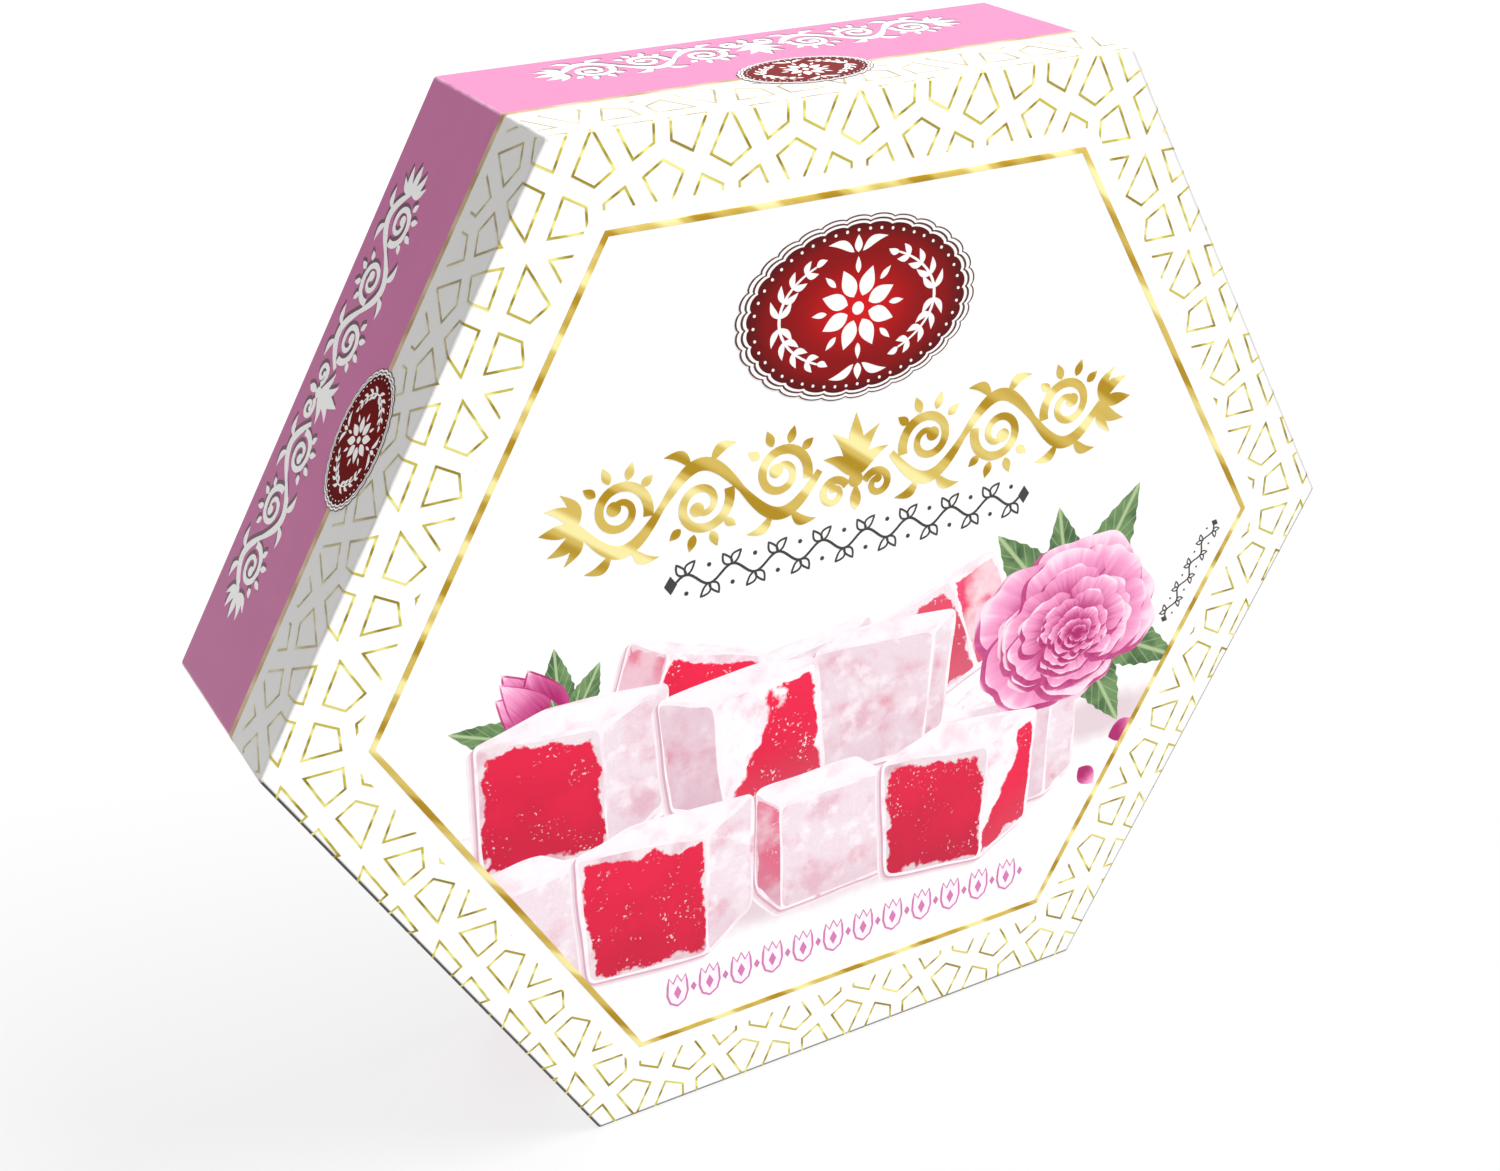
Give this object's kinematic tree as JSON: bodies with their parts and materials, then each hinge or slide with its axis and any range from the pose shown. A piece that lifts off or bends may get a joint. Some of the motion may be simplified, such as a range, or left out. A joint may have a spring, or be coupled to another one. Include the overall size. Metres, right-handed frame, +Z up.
{
  "type": "hexagonal confectionery carton",
  "caption": "Shut hexagonal gift carton of printed board for powdered jelly sweets, upright on one of its six walls, with the picture panel to the front.",
  "frame": {"origin": "middle of the wall that the carton stands on, halfway between the front and the back panel", "axes": "+X along the wall that it stands on, to the right of someone who faces the picture panel; +Y from the front panel to the back panel; +Z up"},
  "size_m": [0.1898, 0.0384, 0.1645],
  "materials": {
    "printed_board": "coated board, printed and gloss varnished",
    "white_board": "coated white board, varnished",
    "gold_foil": "hot-stamped gold foil",
    "print_ink": "varnished offset ink"
  },
  "bodies": {
    "root": {"carton": "printed_board"}
  },
  "joints": []
}
